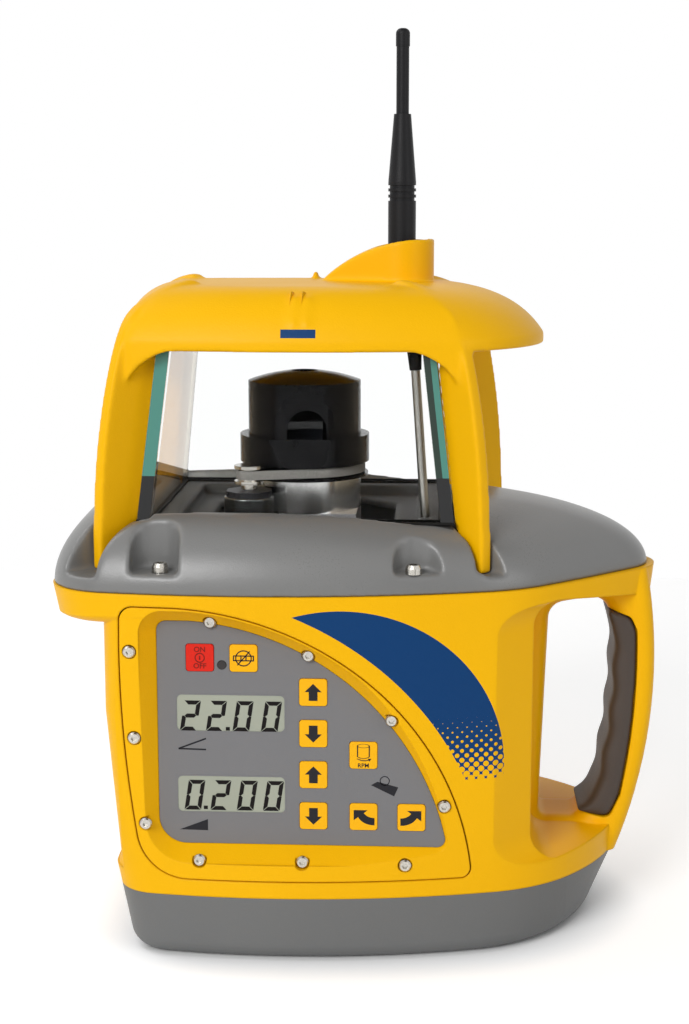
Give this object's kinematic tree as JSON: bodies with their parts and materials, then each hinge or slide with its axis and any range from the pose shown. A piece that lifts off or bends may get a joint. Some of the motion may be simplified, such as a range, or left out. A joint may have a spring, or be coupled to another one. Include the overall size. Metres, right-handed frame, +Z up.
{
  "type": "grade laser",
  "caption": "Rotating grade laser in a yellow casing with carrying handle, sloped keypad, glazed rotor lantern, radio antenna and tripod thread; two-axis tilting beam.",
  "frame": {"origin": "mouth of the tripod thread, on the ground under the rotor axis", "axes": "+Z up along the rotor axis, +X towards the carrying handle, keypad facing -Y"},
  "size_m": [0.2716, 0.178, 0.408],
  "materials": {
    "yellow_shell": "fine grained moulded polycarbonate, satin",
    "grey_cover": "satin grey paint on moulded plastic",
    "grey_base": "fine grained satin grey",
    "grip_rubber": "matt brown-grey rubber",
    "seal_rubber": "matt black sealing rubber",
    "pane_glass": "clear float glass, polished edges",
    "optic_glass": "coated optical glass",
    "steel": "turned bright steel",
    "screw_steel": "plated steel",
    "zinc_plate": "zinc plated",
    "alu": "machined, clear anodised",
    "brass": "machined brass",
    "black_plastic": "matt black moulded plastic",
    "rotor_black": "gloss black",
    "belt_rubber": "grey woven flat belt",
    "overlay_grey": "printed polyester film, satin",
    "key_red": "embossed printed film",
    "key_yellow": "embossed printed film",
    "display_window": "clear window over a grey-green display",
    "lens_red": "dark red lens",
    "board_green": "circuit board",
    "cell_wrap": "wrapped steel cell"
  },
  "bodies": {
    "base": {"base_tray": "grey_base", "tripod_insert": "brass", "base_screws": "screw_steel", "main_housing": "yellow_shell", "handle_grip": "grip_rubber", "top_cover": "grey_cover", "cover_screws": "screw_steel", "roof_cage": "yellow_shell", "side_panes": "pane_glass", "end_panes": "pane_glass", "deck_gasket": "seal_rubber", "roof_gasket": "seal_rubber", "antenna_jack": "brass", "cable_tube": "steel", "tube_boot": "seal_rubber", "keypad_bezel": "yellow_shell", "bezel_gasket": "seal_rubber", "panel_screws": "screw_steel", "keypad_overlay": "overlay_grey", "keypad_displays": "display_window", "status_lens": "lens_red", "keypad_board": "board_green", "chassis": "alu", "ring_pins": "steel", "drive_plate": "alu", "grade_actuators": "zinc_plate", "battery_cradle": "black_plastic", "battery_cells": "cell_wrap", "battery_door": "yellow_shell", "door_screws": "screw_steel"},
    "ring": {"gimbal_ring": "alu"},
    "carrier": {"carrier_plate": "alu", "carrier_pins": "steel", "bearing_drum": "steel", "rotor_bearings": "steel", "laser_tube": "alu", "collimator_lens": "optic_glass", "laser_module": "alu", "tail_pin": "steel", "motor_can": "zinc_plate", "motor_end_cap": "black_plastic", "drive_belt": "belt_rubber"},
    "rotor": {"rotor_pulley": "rotor_black", "rotor_head": "rotor_black", "rotor_lid": "rotor_black", "pentaprism": "optic_glass"},
    "motor_rotor": {"motor_shaft": "steel", "motor_pulley": "steel"},
    "cross_drive": {"cross_plunger": "steel"},
    "main_drive": {"main_plunger": "steel"},
    "antenna": {"antenna_whip": "black_plastic"},
    "power_key": {"power_key": "key_red"},
    "manual_key": {"manual_key": "key_yellow"},
    "main_up_key": {"main_up_key": "key_yellow"},
    "main_down_key": {"main_down_key": "key_yellow"},
    "cross_up_key": {"cross_up_key": "key_yellow"},
    "cross_down_key": {"cross_down_key": "key_yellow"},
    "speed_key": {"speed_key": "key_yellow"},
    "turn_left_key": {"turn_left_key": "key_yellow"},
    "turn_right_key": {"turn_right_key": "key_yellow"}
  },
  "joints": [
    {"name": "main_tilt", "type": "hinge", "parent": "base", "child": "ring", "pos_m": [0, 0, 0.16], "axis": [-1, 0, 0], "range_deg": [-5.7, 14]},
    {"name": "cross_tilt", "type": "hinge", "parent": "ring", "child": "carrier", "pos_m": [0, 0, 0.16], "axis": [0, 1, 0], "range_deg": [-5.7, 14]},
    {"name": "rotor_spin", "type": "hinge", "parent": "carrier", "child": "rotor", "pos_m": [0, 0, 0.2], "axis": [0, 0, 1], "continuous": true},
    {"name": "motor_spin", "type": "hinge", "parent": "carrier", "child": "motor_rotor", "pos_m": [-0.023, -0.03, 0.2], "axis": [0, 0, 1], "continuous": true},
    {"name": "cross_slide", "type": "slide", "parent": "base", "child": "cross_drive", "axis": [1, 0, 0], "range_m": [-0.0144, 0.0059]},
    {"name": "main_slide", "type": "slide", "parent": "base", "child": "main_drive", "axis": [0, 1, 0], "range_m": [-0.0122, 0.005]},
    {"name": "antenna_turn", "type": "hinge", "parent": "base", "child": "antenna", "pos_m": [0.0443, 0.012, 0.32], "axis": [0, 0, 1], "range_deg": [0, 1080]},
    {"name": "power_key_press", "type": "slide", "parent": "base", "child": "power_key", "axis": [0, 1, 0], "range_m": [0, 0.0006], "stiffness_N_per_m": 2500},
    {"name": "manual_key_press", "type": "slide", "parent": "base", "child": "manual_key", "axis": [0, 1, 0], "range_m": [0, 0.0006], "stiffness_N_per_m": 2500},
    {"name": "main_up_key_press", "type": "slide", "parent": "base", "child": "main_up_key", "axis": [0, 1, 0], "range_m": [0, 0.0006], "stiffness_N_per_m": 2500},
    {"name": "main_down_key_press", "type": "slide", "parent": "base", "child": "main_down_key", "axis": [0, 1, 0], "range_m": [0, 0.0006], "stiffness_N_per_m": 2500},
    {"name": "cross_up_key_press", "type": "slide", "parent": "base", "child": "cross_up_key", "axis": [0, 1, 0], "range_m": [0, 0.0006], "stiffness_N_per_m": 2500},
    {"name": "cross_down_key_press", "type": "slide", "parent": "base", "child": "cross_down_key", "axis": [0, 1, 0], "range_m": [0, 0.0006], "stiffness_N_per_m": 2500},
    {"name": "speed_key_press", "type": "slide", "parent": "base", "child": "speed_key", "axis": [0, 1, 0], "range_m": [0, 0.0006], "stiffness_N_per_m": 2500},
    {"name": "turn_left_key_press", "type": "slide", "parent": "base", "child": "turn_left_key", "axis": [0, 1, 0], "range_m": [0, 0.0006], "stiffness_N_per_m": 2500},
    {"name": "turn_right_key_press", "type": "slide", "parent": "base", "child": "turn_right_key", "axis": [0, 1, 0], "range_m": [0, 0.0006], "stiffness_N_per_m": 2500}
  ],
  "couplings": [
    {"joint": "motor_spin", "follows": "rotor_spin", "ratio": 5.8696},
    {"joint": "cross_slide", "follows": "cross_tilt", "m_per_rad": -0.0587},
    {"joint": "main_slide", "follows": "main_tilt", "m_per_rad": -0.0497}
  ]
}
